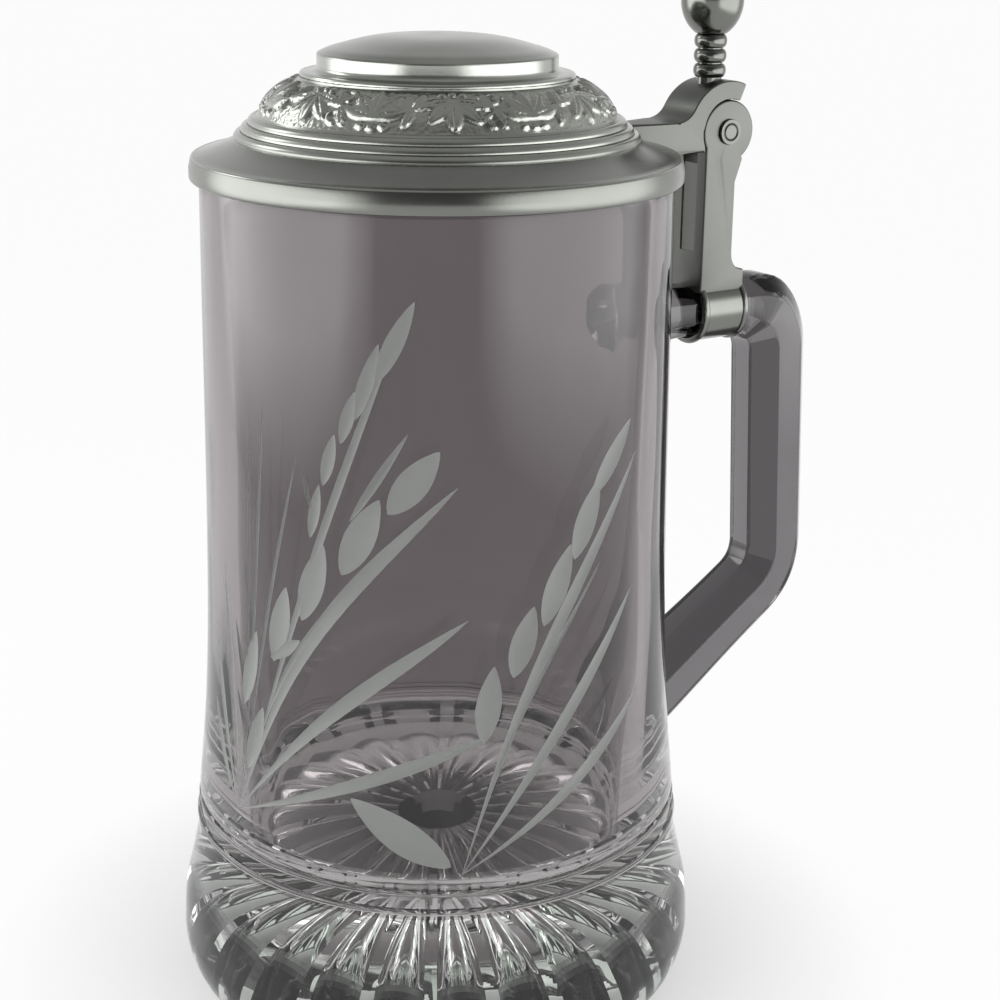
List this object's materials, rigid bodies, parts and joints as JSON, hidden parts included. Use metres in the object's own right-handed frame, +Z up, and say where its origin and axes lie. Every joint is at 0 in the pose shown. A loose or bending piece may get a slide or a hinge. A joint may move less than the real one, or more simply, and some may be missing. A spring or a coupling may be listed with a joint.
{
  "type": "lidded glass stein",
  "caption": "Glass beer stein with a flared foot, a star pressed under it, cut-leaf decoration, a faceted side handle and a hinged pewter lid opened by a ball thumblift.",
  "frame": {"origin": "centre of the standing face, under the middle of the vessel", "axes": "+Z up along the vessel's axis, +X from the vessel towards its handle and lid hinge"},
  "size_m": [0.1456, 0.105, 0.1989],
  "materials": {
    "cut_glass": "clear glass with frosted cut leaves",
    "handle_glass": "clear faceted glass",
    "pewter_lid": "satin cast pewter",
    "pewter_mount": "satin cast pewter",
    "pewter_pin": "worn pin head"
  },
  "bodies": {
    "stein": {"glass_body": "cut_glass", "glass_handle": "handle_glass", "handle_ring": "pewter_mount", "hinge_shank": "pewter_mount", "hinge_pin": "pewter_pin"},
    "lid": {"lid_cap": "pewter_lid", "lid_top_disc": "pewter_lid", "lid_tang": "pewter_mount", "thumblift": "pewter_mount"}
  },
  "joints": [
    {"name": "lid_hinge", "type": "hinge", "parent": "stein", "child": "lid", "pos_m": [0.0654, 0, 0.1669], "axis": [0, 1, 0], "range_deg": [0, 100]}
  ]
}
